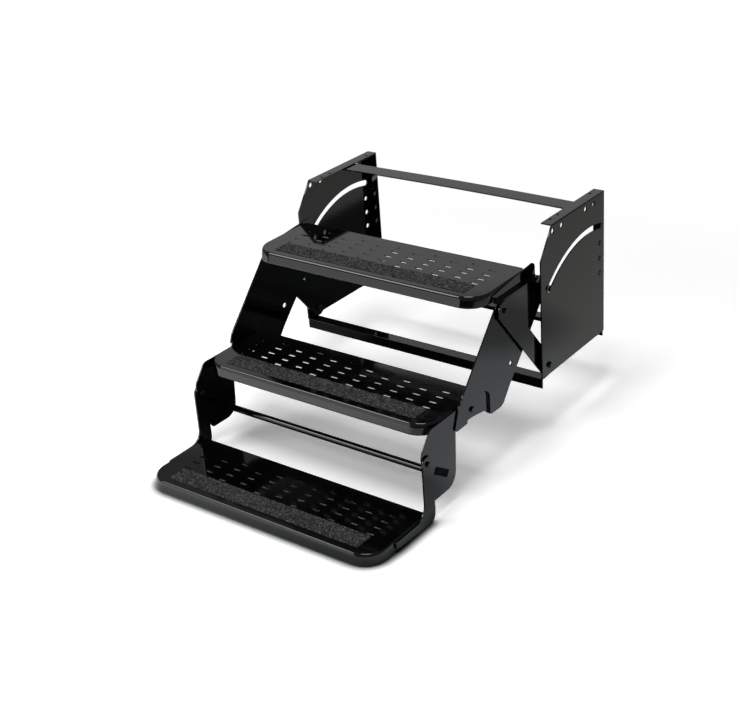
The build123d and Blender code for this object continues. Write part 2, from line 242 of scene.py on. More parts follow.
def grit_cells(m, where, scale, channel, finish):
    """Grain-sized cells, the lightness each one draws, and its colour between bed and palest grain."""
    cells = m.add("ShaderNodeTexVoronoi", {"feature": "F1"}, {"Vector": where, "Scale": scale})
    tone = m.add("ShaderNodeSeparateColor", None, {"Color": m.out(cells, "Color")})
    pick = m.out(tone, channel).power(3.0)
    return cells, pick, m.blend_colour(pick, tuple(finish.grit_bed), tuple(finish.grit_grain))


def powder_coat(finish):
    """Gloss black powder coat: orange-peel surface, faint dust and uneven gloss."""
    material, m, output, where = new_material("black_powder_coat_gloss")
    cloud = m.noise(where, 9.0, 3.0)
    handling = m.noise(where, 34.0, 4.0, 0.6)
    peel = m.noise(where, 420.0, 2.0, 0.5)
    fine = m.noise(where, 1500.0, 1.0)
    specks = m.remap(m.noise(where, 900.0, 2.0), 0.70, 0.8, 0.0, 0.2)
    dust = m.remap(cloud, 0.5, 0.8, 0.0, 0.10)
    base = m.blend_colour(dust, tuple(finish.coat_colour), tuple(finish.coat_dust))
    colour = m.blend_colour(specks, base, tuple(finish.coat_dust))
    rough = finish.coat_roughness + 0.05 * (cloud - 0.5) + 0.04 * (handling - 0.5)
    wave = m.bump(peel + 0.3 * fine, 0.04, 0.0003)
    values = {"Base Color": colour, "Roughness": rough, "Normal": wave, "IOR": 1.5}
    return principled(material, m, output, values)


def zinc_steel(finish):
    """Zinc-plated steel: fine turning marks, cloudy plating and dull patches."""
    material, m, output, where = new_material("zinc_plated_steel")
    cloud = m.noise(where, 160.0, 3.0)
    stretch = m.add("ShaderNodeMapping", None, {"Vector": where, "Scale": (900.0, 60.0, 60.0)})
    marks = m.noise(m.out(stretch), 6.0, 2.0)
    colour = m.blend_colour(cloud, tuple(finish.zinc_colour), tuple(finish.zinc_dull))
    rough = 0.30 + 0.18 * cloud
    wave = m.bump(marks, 0.12, 0.0002)
    values = {"Base Color": colour, "Roughness": rough, "Metallic": 1.0, "Normal": wave}
    return principled(material, m, output, values)


def grit_backing(finish):
    """The tar-black bed of the grit strip, with the grains that lie deep in it."""
    material, m, output, where = new_material("grit_strip_bed")
    cells, pick, colour = grit_cells(m, where, 430.0, "Red", finish)
    lumps = (1.0 - m.out(cells, "Distance")) + 0.5 * m.noise(where, 1400.0)
    wave = m.bump(lumps, 0.8, 0.0009)
    values = {"Base Color": colour, "Roughness": 0.7 + 0.2 * pick, "Normal": wave}
    return principled(material, m, output, values, 0.2)


def grit_grains(finish):
    """Loose mineral grains: each patch of grains has its own grey."""
    material, m, output, where = new_material("grit_strip_grains")
    colour = grit_cells(m, where, 360.0, "Green", finish)[2]
    values = {"Base Color": colour, "Roughness": 0.6 + 0.25 * m.noise(where, 700.0)}
    return principled(material, m, output, values, 0.25)


def dull_rubber(finish):
    """Dull black rubber with a fine moulded grain and a bloom of dust."""
    material, m, output, where = new_material("dull_black_rubber")
    grain = m.noise(where, 1800.0, 2.0)
    bloom = m.remap(m.noise(where, 60.0, 4.0), 0.4, 0.8, 0.0, 0.2)
    colour = m.blend_colour(bloom, tuple(finish.rubber_colour), tuple(finish.coat_dust))
    wave = m.bump(grain, 0.25, 0.0002)
    values = {"Base Color": colour, "Roughness": 0.62 + 0.2 * bloom, "Normal": wave}
    return principled(material, m, output, values, 0.04)


def material_named(name, make, finish):
    """The material of that name, made once."""
    found = bpy.data.materials.get(name)
    return found if found else make(finish)


def coat(finish):
    return material_named("black_powder_coat_gloss", powder_coat, finish)


def zinc(finish):
    return material_named("zinc_plated_steel", zinc_steel, finish)


# Meshes


def mesh_object(name, bm):
    """A mesh object at the origin from a bmesh."""
    mesh = bpy.data.meshes.new(name)
    bm.to_mesh(mesh)
    bm.free()
    thing = bpy.data.objects.new(name, mesh)
    bpy.context.scene.collection.objects.link(thing)
    return thing


def box_of(node):
    """The lowest and highest corner of a CAD node."""
    low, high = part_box(node)
    return Vector(low), Vector(high)


def join(bm, first, second):
    """Faces between two rings of points."""
    for i in range(len(first)):
        j = (i + 1) % len(first)
        bm.faces.new((first[i], first[j], second[j], second[i]))


def skin(bm, rings):
    """Join rings of points, each to the next, and cap both ends."""
    for first, second in zip(rings, rings[1:]):
        join(bm, first, second)
    bm.faces.new(reversed(rings[0]))
    bm.faces.new(rings[-1])


def ease_edges(bm, edges, ease):
    """Round off edges with a small bevel."""
    bmesh.ops.bevel(
        bm,
        geom=edges,
        offset=ease,
        offset_type="OFFSET",
        segments=2,
        profile=0.5,
        affect="EDGES",
        clamp_overlap=True,
    )


def turns(edge, degrees):
    """Whether two faces meet at an edge at more than an angle."""
    return len(edge.link_faces) == 2 and edge.calc_face_angle(0.0) > math.radians(degrees)


def smooth_by_angle(thing, degrees):
    """Smooth faces with sharp edges kept where the surface turns."""
    mesh = thing.data
    bm = bmesh.new()
    bm.from_mesh(mesh)
    limit = math.radians(degrees)
    for face in bm.faces:
        face.smooth = True
    for edge in bm.edges:
        edge.smooth = len(edge.link_faces) == 2 and edge.calc_face_angle(0.0) < limit
    bm.to_mesh(mesh)
    bm.free()


def even_shading(thing, degrees):
    """Smooth the bends and let the large flat faces set the normals beside them."""
    smooth_by_angle(thing, degrees)
    modifier = thing.modifiers.new("even_shading", "WEIGHTED_NORMAL")
    modifier.mode = "FACE_AREA"
    modifier.weight = 100
    modifier.keep_sharp = True
    graph = bpy.context.evaluated_depsgraph_get()
    graph.update()
    mesh = bpy.data.meshes.new_from_object(thing.evaluated_get(graph))
    mesh.name = thing.name
    thing.modifiers.remove(modifier)
    thing.data = mesh


def finish_piece(thing, material, body, nodes):
    """Give a finished piece its material and body, and hide its CAD nodes."""
    if material is not None:
        thing.data.materials.clear()
        thing.data.materials.append(material)
    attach(thing, body)
    if nodes:
        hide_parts(*nodes)


def eased_copy(node, name, ease):
    """A copy of a CAD node whose sharp edges are eased, as bent and painted sheet is."""
    source = frame["nodes"][node]
    bm = bmesh.new()
    bm.from_mesh(source.data)
    bm.transform(source.matrix_world)
    bmesh.ops.remove_doubles(bm, verts=bm.verts, dist=0.000002)
    bmesh.ops.dissolve_limit(
        bm, angle_limit=math.radians(0.6), verts=bm.verts, edges=bm.edges, delimit=set()
    )
    ease_edges(bm, [edge for edge in bm.edges if turns(edge, 40)], ease)
    bmesh.ops.recalc_face_normals(bm, faces=bm.faces)
    thing = mesh_object(name, bm)
    even_shading(thing, 50.0)
    return thing


def corner_outline(half, front, rear, front_radius, rear_radius, inset, steps, flare=0.0):
    """Points of a tread's plan with round corners, moved inwards by an inset.

    A flare moves the front and rear outwards and leaves the sides where they are.
    """
    spots = (
        (half, rear + flare, rear_radius, 0.0),
        (-half, rear + flare, rear_radius, 90.0),
        (-half, front - flare, front_radius, 180.0),
        (half, front - flare, front_radius, 270.0),
    )
    points = []
    for x, y, radius, start in spots:
        centre_x = x - math.copysign(radius, x)
        centre_y = y - radius if start < 180.0 else y + radius
        reach = max(radius - inset, 0.0002)
        for i in range(steps + 1):
            a = math.radians(start + 90.0 * i / steps)
            points.append((centre_x + reach * math.cos(a), centre_y + reach * math.sin(a)))
    return points


def tread_shell(name, low, high, sizes):
    """A pressed pan: flat deck, rolled edge, a drafted lip with a curled foot, hollow underneath."""
    half, top, foot = high.x, high.z, low.z
    slope = math.tan(sizes.lip_draft)
    front = low.y + (top - foot) * slope
    rear = high.y - (top - foot) * slope
    t = sizes.tread_sheet
    roll, drop, curl = sizes.tread_edge_radius, sizes.tread_edge_drop, sizes.lip_curl
    arc = [math.radians(90.0 * i / ROLL_STEPS) for i in range(ROLL_STEPS + 1)]

    def curled(radius):
        return [(curl - radius * math.sin(a), foot + curl - radius * math.cos(a)) for a in arc]

    def rolled(start, reach, fall, crest):
        return [(start + reach - reach * math.cos(a), crest - fall + fall * math.sin(a)) for a in arc]

    outside = curled(curl) + rolled(0.0, roll, drop, top)
    inside = curled(curl - t) + rolled(t, max(roll - t, 0.0008), drop - t, top - t)
    bm = bmesh.new()
    rings = []
    for inset, z in outside + inside:
        flare = (top - z) * slope
        outline = corner_outline(
            half, front, rear, sizes.front_corner, sizes.rear_corner, inset, CORNER_STEPS, flare
        )
        rings.append([bm.verts.new((x, y, z)) for x, y in outline])
    outer, inner = rings[: len(outside)], rings[len(outside) :]
    for lower, upper in zip(outer, outer[1:]):
        join(bm, lower, upper)
    for lower, upper in zip(inner, inner[1:]):
        join(bm, upper, lower)
    bm.faces.new(outer[-1])
    bm.faces.new(reversed(inner[-1]))
    join(bm, inner[0], outer[0])
    bmesh.ops.recalc_face_normals(bm, faces=bm.faces)
    return mesh_object(name, bm)


# Geometry trees for what repeats


def new_geometry_tree(name, inputs):
    """A geometry tree with named inputs, its maker, and a function that gives an input by name."""
    tree = bpy.data.node_groups.new(name, "GeometryNodeTree")
    tree.interface.new_socket("Geometry", in_out="INPUT", socket_type="NodeSocketGeometry")
    for label, kind in inputs:
        tree.interface.new_socket(label, in_out="INPUT", socket_type="NodeSocket" + kind)
    tree.interface.new_socket("Geometry", in_out="OUTPUT", socket_type="NodeSocketGeometry")
    maker = Maker(tree)
    entry = maker.add("NodeGroupInput")
    return tree, maker, lambda name: maker.out(entry, name)


def end_tree(m, shape, material):
    """Realize Instances and Set Material, then the output."""
    real = m.add("GeometryNodeRealizeInstances", None, {"Geometry": shape})
    dressed = m.add(
        "GeometryNodeSetMaterial", None, {"Geometry": m.out(real), "Material": material}
    )
    m.add("NodeGroupOutput", None, {"Geometry": m.out(dressed)})


def run_tree(thing, tree, values):
    """Apply a tree to an object as a plain mesh, with its inputs set by identifier."""
    modifier = thing.modifiers.new(tree.name, "NODES")
    modifier.node_group = tree
    for item in tree.interface.items_tree:
        if item.in_out == "INPUT" and item.name in values:
            modifier[item.identifier] = values[item.name]
    graph = bpy.context.evaluated_depsgraph_get()
    graph.update()
    mesh = bpy.data.meshes.new_from_object(thing.evaluated_get(graph))
    mesh.name = thing.name
    thing.modifiers.remove(modifier)
    thing.data = mesh


def perforation_tree():
    """Cuts staggered rows of round-ended slots through a deck."""
    found = bpy.data.node_groups.get("tread_perforations")
    if found:
        return found
    tree, m, given = new_geometry_tree(
        "tread_perforations",
        (
            ("Slot Length", "Float"),
            ("Slot Width", "Float"),
            ("Column Spacing", "Float"),
            ("Row Spacing", "Float"),
            ("Columns", "Int"),
            ("Rows", "Int"),
            ("First Row", "Float"),
            ("Deck Height", "Float"),
            ("Cut Depth", "Float"),
            ("Material", "Material"),
        ),
    )
    span_x = (given("Columns") - 1.0) * given("Column Spacing")
    span_y = (given("Rows") - 1.0) * given("Row Spacing")
    grid = m.add(
        "GeometryNodeMeshGrid",
        None,
        {
            "Size X": span_x,
            "Size Y": span_y,
            "Vertices X": given("Columns"),
            "Vertices Y": given("Rows"),
        },
    )
    place = m.add("ShaderNodeSeparateXYZ", None, {0: m.out(m.add("GeometryNodeInputPosition"))})
    column = ((m.out(place, "X") + 0.5 * span_x) / given("Column Spacing")).rounded()
    stagger = column.modulo(2.0) * 0.5 * given("Row Spacing")
    shift = m.add(
        "ShaderNodeCombineXYZ",
        None,
        {
            "Y": given("First Row") - 0.5 * span_y + stagger,
            "Z": given("Deck Height") - 0.5 * given("Cut Depth"),
        },
    )
    spots = m.add(
        "GeometryNodeSetPosition", None, {"Geometry": m.out(grid, "Mesh"), "Offset": m.out(shift)}
    )
    outline = m.add(
        "GeometryNodeCurvePrimitiveQuadrilateral",
        {"mode": "RECTANGLE"},
        {"Width": given("Slot Length"), "Height": given("Slot Width")},
    )
    ends = m.add(
        "GeometryNodeFilletCurve",
        {"mode": "POLY"},
        {
            "Curve": m.out(outline),
            "Count": 4,
            "Radius": given("Slot Width") * 0.499,
            "Limit Radius": True,
        },
    )
    face = m.add("GeometryNodeFillCurve", {"mode": "NGONS"}, {"Curve": m.out(ends)})
    raised = m.add(
        "GeometryNodeExtrudeMesh",
        {"mode": "FACES"},
        {"Mesh": m.out(face), "Offset Scale": given("Cut Depth"), "Individual": False},
    )
    under = m.add("GeometryNodeFlipFaces", None, {"Mesh": m.out(face)})
    closed = m.add(
        "GeometryNodeJoinGeometry", None, {"Geometry": [m.out(raised, "Mesh"), m.out(under)]}
    )
    welded = m.add(
        "GeometryNodeMergeByDistance", None, {"Geometry": m.out(closed), "Distance": 0.00001}
    )
    punches = m.add(
        "GeometryNodeInstanceOnPoints",
        None,
        {"Points": m.out(spots), "Instance": m.out(welded)},
    )
    solid = m.add("GeometryNodeRealizeInstances", None, {"Geometry": m.out(punches)})
    cut = m.add(
        "GeometryNodeMeshBoolean",
        {"operation": "DIFFERENCE", "solver": "EXACT"},
        {"Mesh 1": given("Geometry"), "Mesh 2": m.out(solid)},
    )
    end_tree(m, m.out(cut, "Mesh"), given("Material"))
    return tree


def grit_tree():
    """Scatters angular grains over the top of a strip."""
    found = bpy.data.node_groups.get("grit_scatter")
    if found:
        return found
    tree, m, given = new_geometry_tree(
        "grit_scatter",
        (
            ("Grains Per Square Metre", "Float"),
            ("Grain Size", "Float"),
            ("Seed", "Int"),
            ("Material", "Material"),
        ),
    )
    normal = m.add("ShaderNodeSeparateXYZ", None, {0: m.out(m.add("GeometryNodeInputNormal"))})
    points = m.add(
        "GeometryNodeDistributePointsOnFaces",
        {"distribute_method": "RANDOM"},
        {
            "Mesh": given("Geometry"),
            "Selection": m.out(normal, "Z").above(0.9),
            "Density": given("Grains Per Square Metre"),
            "Seed": given("Seed"),
        },
    )
    grain = m.add(
        "GeometryNodeMeshIcoSphere", None, {"Radius": given("Grain Size"), "Subdivisions": 1}
    )
    size = m.add(
        "FunctionNodeRandomValue", {"data_type": "FLOAT"}, {2: 0.5, 3: 1.25, "Seed": 3}
    )
    turn = m.add(
        "FunctionNodeRandomValue",
        {"data_type": "FLOAT_VECTOR"},
        {0: (0.0, 0.0, 0.0), 1: (6.28, 6.28, 6.28), "Seed": 5},
    )
    scattered = m.add(
        "GeometryNodeInstanceOnPoints",
        None,
        {
            "Points": m.out(points, "Points"),
            "Instance": m.out(grain, "Mesh"),
            "Rotation": m.out(turn, 0),
            "Scale": m.out(size, 1),
        },
    )
    end_tree(m, m.out(scattered), given("Material"))
    return tree


def pair_tree():
    """Puts a fastener at its place on the right side and its twin on the left."""
    found = bpy.data.node_groups.get("fastener_pair")
    if found:
        return found
    tree, m, given = new_geometry_tree(
        "fastener_pair", (("Centre", "Vector"), ("Turn", "Float"), ("Material", "Material"))
    )
    twin = m.add(
        "ShaderNodeVectorMath", {"operation": "MULTIPLY"}, {0: given("Centre"), 1: (-1.0, 1.0, 1.0)}
    )
    ends = m.add(
        "GeometryNodeMeshLine",
        {"mode": "END_POINTS"},
        {"Count": 2, "Start Location": given("Centre"), "Offset": m.out(twin)},
    )
    index = m.out(m.add("GeometryNodeInputIndex"))
    turn = m.add("ShaderNodeCombineXYZ", None, {"X": given("Turn"), "Z": index * math.pi})
    placed = m.add(
        "GeometryNodeInstanceOnPoints",
        None,
        {"Points": m.out(ends), "Instance": given("Geometry"), "Rotation": m.out(turn)},
    )
    end_tree(m, m.out(placed), given("Material"))
    return tree


def bead_tree():
    """Lays the overlapping ripples of a weld along a path of points."""
    found = bpy.data.node_groups.get("weld_bead")
    if found:
        return found
    tree, m, given = new_geometry_tree(
        "weld_bead",
        (("Ripple Pitch", "Float"), ("Bead Size", "Float"), ("Seed", "Int"), ("Material", "Material")),
    )
    path = m.add("GeometryNodeMeshToCurve", None, {"Mesh": given("Geometry")})
    even = m.add(
        "GeometryNodeResampleCurve",
        {"mode": "LENGTH"},
        {"Curve": m.out(path), "Length": given("Ripple Pitch")},
    )
    points = m.add("GeometryNodeCurveToPoints", {"mode": "EVALUATED"}, {"Curve": m.out(even)})
    ripple = m.add(
        "GeometryNodeMeshUVSphere",
        None,
        {"Segments": 10, "Rings": 6, "Radius": given("Bead Size")},
    )
    size = m.add(
        "FunctionNodeRandomValue",
        {"data_type": "FLOAT"},
        {2: 0.85, 3: 1.15, "Seed": given("Seed")},
    )
    laid = m.add(
        "GeometryNodeInstanceOnPoints",
        None,
        {
            "Points": m.out(points, "Points"),
            "Instance": m.out(ripple, "Mesh"),
            "Rotation": m.out(points, "Rotation"),
            "Scale": m.out(size, 1),
        },
    )
    end_tree(m, m.out(laid), given("Material"))
    return tree


# Fasteners


def turned(bm, profile, sides=28):
    """Revolve (x, radius) points round the X axis into a closed shape."""
    rings = []
    for x, radius in profile:
        ring = []
        for i in range(sides):
            a = math.tau * i / sides
            ring.append(bm.verts.new((x, radius * math.cos(a), radius * math.sin(a))))
        rings.append(ring)
    skin(bm, rings)


def hexagon_head(bm, start, height, flats, sides=36):
    """A hexagon head along +X with the curved chamfer that turning leaves on its corners."""
    inner = flats / 2.0
    face = inner * 0.93
    end = start + height
    rings = [[], [], []]
    for i in range(sides):
        a = math.tau * i / sides
        folded = (a % (math.pi / 3.0)) - math.pi / 6.0
        reach = inner / math.cos(folded)
        drop = (reach - face) * math.tan(math.radians(30.0))
        for ring, (x, r) in zip(rings, ((start, reach), (end - drop, reach), (end, face))):
            ring.append(bm.verts.new((x, r * math.cos(a), r * math.sin(a))))
    skin(bm, rings)


def fastener(name, build, centre, turn, material, body, nodes):
    """Build one fastener round the X axis and place it with its twin."""
    bm = bmesh.new()
    build(bm)
    bmesh.ops.recalc_face_normals(bm, faces=bm.faces)
    thing = mesh_object(name, bm)
    run_tree(thing, pair_tree(), {"Centre": centre, "Turn": turn, "Material": material})
    even_shading(thing, 27.0)
    finish_piece(thing, None, body, nodes)


# Settings


def length_property(label, words, default):
    return bpy.props.FloatProperty(name=label, description=words, default=default, unit="LENGTH")


def colour_property(label, words, default):
    return bpy.props.FloatVectorProperty(
        name=label, description=words, subtype="COLOR", size=4, min=0.0, max=1.0, default=default
    )


class StepSizes(bpy.types.PropertyGroup):
    """Sizes of the dressed pieces, in metres."""

    tread_sheet: length_property("Tread sheet", "Thickness of the pressed treads", 0.0025)
    tread_edge_radius: length_property("Tread edge", "Rolled radius along a tread's top edge", 0.003)
    tread_edge_drop: length_property("Edge drop", "How far down the lip the roll fades out", 0.0095)
    lip_curl: length_property("Lip curl", "Radius of the lip's curled foot", 0.0035)
    lip_draft: bpy.props.FloatProperty(
        name="Lip draft",
        description="Lean of a tread's front and rear lips",
        default=math.radians(10.0),
        subtype="ANGLE",
    )
    front_corner: length_property("Front corner", "Corner radius at a tread's front", 0.046)
    rear_corner: length_property("Rear corner", "Corner radius at a tread's rear", 0.012)
    slot_length: length_property("Slot length", "Length of a perforation", 0.019)
    slot_width: length_property("Slot width", "Width of a perforation", 0.006)
    column_spacing: length_property("Column spacing", "Between slot columns", 0.0454)
    row_spacing: length_property("Row spacing", "Between slot rows", 0.0224)
    columns: bpy.props.IntProperty(name="Columns", description="Slot columns", default=11, min=1)
    rows: bpy.props.IntProperty(name="Rows", description="Slot rows", default=4, min=1)
    first_row: length_property("First row", "From a tread's rear edge to its first row", 0.0415)
    rim_ease: length_property("Slot rim", "Eased rim of a punched slot", 0.0009)
    sheet_ease: length_property("Sheet edge", "Eased edge of cut and bent sheet", 0.0006)
    strip_corner: length_property("Strip corner", "Corner radius of a grit strip", 0.005)
    grain_size: length_property("Grain size", "Radius of a grit grain", 0.0007)
    grain_density: bpy.props.FloatProperty(
        name="Grain density", description="Grains in a square metre of strip", default=190000.0
    )
    head_flats: length_property("Head flats", "Bolt head across flats", 0.0105)
    head_height: length_property("Head height", "Height of a bolt head", 0.004)
    nut_flats: length_property("Nut flats", "Nut across flats", 0.012)
    nut_height: length_property("Nut height", "Height of a domed nut", 0.0045)
    shank_radius: length_property("Shank radius", "Radius of a pivot bolt", 0.004)
    flange_radius: length_property("Flange radius", "Radius of a bolt's flange and shoulder", 0.008)
    flange_thickness: length_property("Flange", "Thickness of a bolt's flange", 0.0012)
    bead_size: length_property("Weld bead", "Radius of a weld's ripples", 0.0022)
    bead_pitch: length_property("Weld pitch", "Between a weld's ripples", 0.0019)
    strap_bow: length_property("Strap bow", "Rise of the top strap at mid-span", 0.0025)


class StepFinish(bpy.types.PropertyGroup):
    """Colours and gloss of the finishes."""

    coat_colour: colour_property("Coat", "Black powder coat", (0.0012, 0.0014, 0.0014, 1.0))
    coat_dust: colour_property("Coat dust", "Dust on the coat", (0.02, 0.02, 0.02, 1.0))
    zinc_colour: colour_property("Zinc", "Bright zinc plating", (0.62, 0.62, 0.60, 1.0))
    zinc_dull: colour_property("Dull zinc", "Dull patches of plating", (0.30, 0.30, 0.30, 1.0))
    grit_bed: colour_property("Grit bed", "Bed of the grit strips", (0.004, 0.004, 0.004, 1.0))
    grit_grain: colour_property("Grit grain", "Palest grains", (0.13, 0.13, 0.128, 1.0))
    rubber_colour: colour_property("Rubber", "Rest pads", (0.0016, 0.002, 0.003, 1.0))
    floor_colour: colour_property("Floor", "Pale studio floor", (0.95, 0.95, 0.95, 1.0))
    floor_tone: colour_property("Floor tone", "Floor as the gloss mirrors it", (0.80, 0.80, 0.775, 1.0))
    floor_cool: colour_property("Cool floor", "Floor tone towards the front", (0.88, 0.93, 1.0, 1.0))
    # Painted shade: the floor's tone between the sides, in the shadow patches, and close round the step
    floor_shade: colour_property("Floor shade", "Floor between the sides", (0.09, 0.10, 0.097, 1.0))
    coat_roughness: bpy.props.FloatProperty(
        name="Coat roughness",
        description="Mean roughness of the powder coat",
        default=0.07,
        min=0.0,
        max=1.0,
    )


def settings(context):
    return context.scene.step_sizes, context.scene.step_finish


# Operators


class STEP_OT_tread_pans(bpy.types.Operator):
    """Press the three perforated treads"""

    bl_idname = "step.tread_pans"
    bl_label = "Tread pans"

    def execute(self, context):
        sizes, finish = settings(context)
        for node, body in (
            ("top_tread", "carriage"),
            ("middle_tread", "middle_stage"),
            ("bottom_tread", "bottom_stage"),
        ):
            low, high = box_of(node)
            rear = high.y - (high.z - low.z) * math.tan(sizes.lip_draft)
            thing = tread_shell(node.replace("tread", "tread_pan"), low, high, sizes)
            run_tree(
                thing,
                perforation_tree(),
                {
                    "Slot Length": sizes.slot_length,
                    "Slot Width": sizes.slot_width,
                    "Column Spacing": sizes.column_spacing,
                    "Row Spacing": sizes.row_spacing,
                    "Columns": sizes.columns,
                    "Rows": sizes.rows,
                    "First Row": rear - sizes.first_row,
                    "Deck Height": high.z,
                    "Cut Depth": 4.0 * sizes.tread_sheet,
                    "Material": coat(finish),
                },
            )
            self.ease_rims(thing, high.z, sizes.rim_ease)
            even_shading(thing, 40.0)
            finish_piece(thing, coat(finish), body, [node])
        return {"FINISHED"}

    def ease_rims(self, thing, top, ease):
        """Ease the top rims of the slots, as a punch leaves them."""
        bm = bmesh.new()
        bm.from_mesh(thing.data)
        rims = []
        for edge in bm.edges:
            level = all(abs(vert.co.z - top) < 0.00001 for vert in edge.verts)
            if level and turns(edge, 60):
                rims.append(edge)
        ease_edges(bm, rims, ease)
        bm.to_mesh(thing.data)
        bm.free()


class STEP_OT_grip_strips(bpy.types.Operator):
    """Lay the gritted strips along the treads"""

    bl_idname = "step.grip_strips"
    bl_label = "Grit strips"

    def execute(self, context):
        sizes, finish = settings(context)
        bed = material_named("grit_strip_bed", grit_backing, finish)
        grains = material_named("grit_strip_grains", grit_grains, finish)
        for number, (node, body) in enumerate(
            (
                ("top_grip_strip", "carriage"),
                ("middle_grip_strip", "middle_stage"),
                ("bottom_grip_strip", "bottom_stage"),
            )
        ):
            low, high = box_of(node)
            r, ease = sizes.strip_corner, 0.0004
            bm = bmesh.new()
            rings = []
            for inset, z in ((0.0, low.z), (0.0, high.z - ease), (ease, high.z)):
                outline = corner_outline(high.x, low.y, high.y, r, r, inset, STRIP_CORNER_STEPS)
                rings.append([bm.verts.new((x, y, z)) for x, y in outline])
            skin(bm, rings)
            bmesh.ops.recalc_face_normals(bm, faces=bm.faces)
            strip = mesh_object(node.replace("strip", "strip_bed"), bm)
            scatter = mesh_object(node.replace("strip", "strip_grains"), bmesh.new())
            scatter.data = strip.data.copy()
            run_tree(
                scatter,
                grit_tree(),
                {
                    "Grains Per Square Metre": sizes.grain_density,
                    "Grain Size": sizes.grain_size,
                    "Seed": GRAIN_SEED + number,
                    "Material": grains,
                },
            )
            finish_piece(strip, bed, body, [node])
            finish_piece(scatter, None, body, [])
        return {"FINISHED"}


class STEP_OT_sheet_parts(bpy.types.Operator):
    """Ease and coat the cut and bent plates, arms, angles and rod"""

    bl_idname = "step.sheet_parts"
    bl_label = "Plates and arms"

    def execute(self, context):
        sizes, finish = settings(context)
        owner = {}
        for body, nodes in frame["record"]["behaviour"]["bodies"].items():
            for node in nodes:
                owner[node] = body
        for node in (
            "frame_plate_right",
            "frame_plate_left",
            "front_cross_angle",
            "rear_cross_angle",
            "link_arm_right",
            "link_arm_left",
            "side_plate_right",
            "side_plate_left",
            "tread_bracket_right",
            "tread_bracket_left",
            "hook_plate_right",
            "hook_plate_left",
            "bottom_arm_right",
            "bottom_arm_left",
        ):
            thing = eased_copy(node, node + "_coated", sizes.sheet_ease)
            finish_piece(thing, coat(finish), owner[node], [node])
        rubber = material_named("dull_black_rubber", dull_rubber, finish)
        for node, material in (("cross_rod", coat(finish)), ("hook_rest_pads", rubber)):
            materials = frame["nodes"][node].data.materials
            materials.clear()
            materials.append(material)
        return {"FINISHED"}


class STEP_OT_top_strap(bpy.types.Operator):
    """Roll the thin strap that ties the tops of the frame plates"""

    bl_idname = "step.top_strap"
    bl_label = "Top strap"

    def execute(self, context):
        sizes, finish = settings(context)
        low, high = box_of("top_strap")
        edge = 0.0006
        section = (
            (low.y + edge, low.z),
            (high.y - edge, low.z),
            (high.y, low.z + edge),
            (high.y, high.z - edge),
            (high.y - edge, high.z),
            (low.y + edge, high.z),
            (low.y, high.z - edge),
            (low.y, low.z + edge),
        )
        bm = bmesh.new()
        rings = []
        for i in range(STRAP_STEPS + 1):
            x = low.x + (high.x - low.x) * i / STRAP_STEPS
            rise = sizes.strap_bow * math.sin(math.pi * i / STRAP_STEPS)
            rings.append([bm.verts.new((x, y, z + rise)) for y, z in section])
        skin(bm, rings)
        bmesh.ops.recalc_face_normals(bm, faces=bm.faces)
        thing = mesh_object("top_strap_rolled", bm)
        smooth_by_angle(thing, 30.0)
        finish_piece(thing, coat(finish), "frame", ["top_strap"])
        return {"FINISHED"}


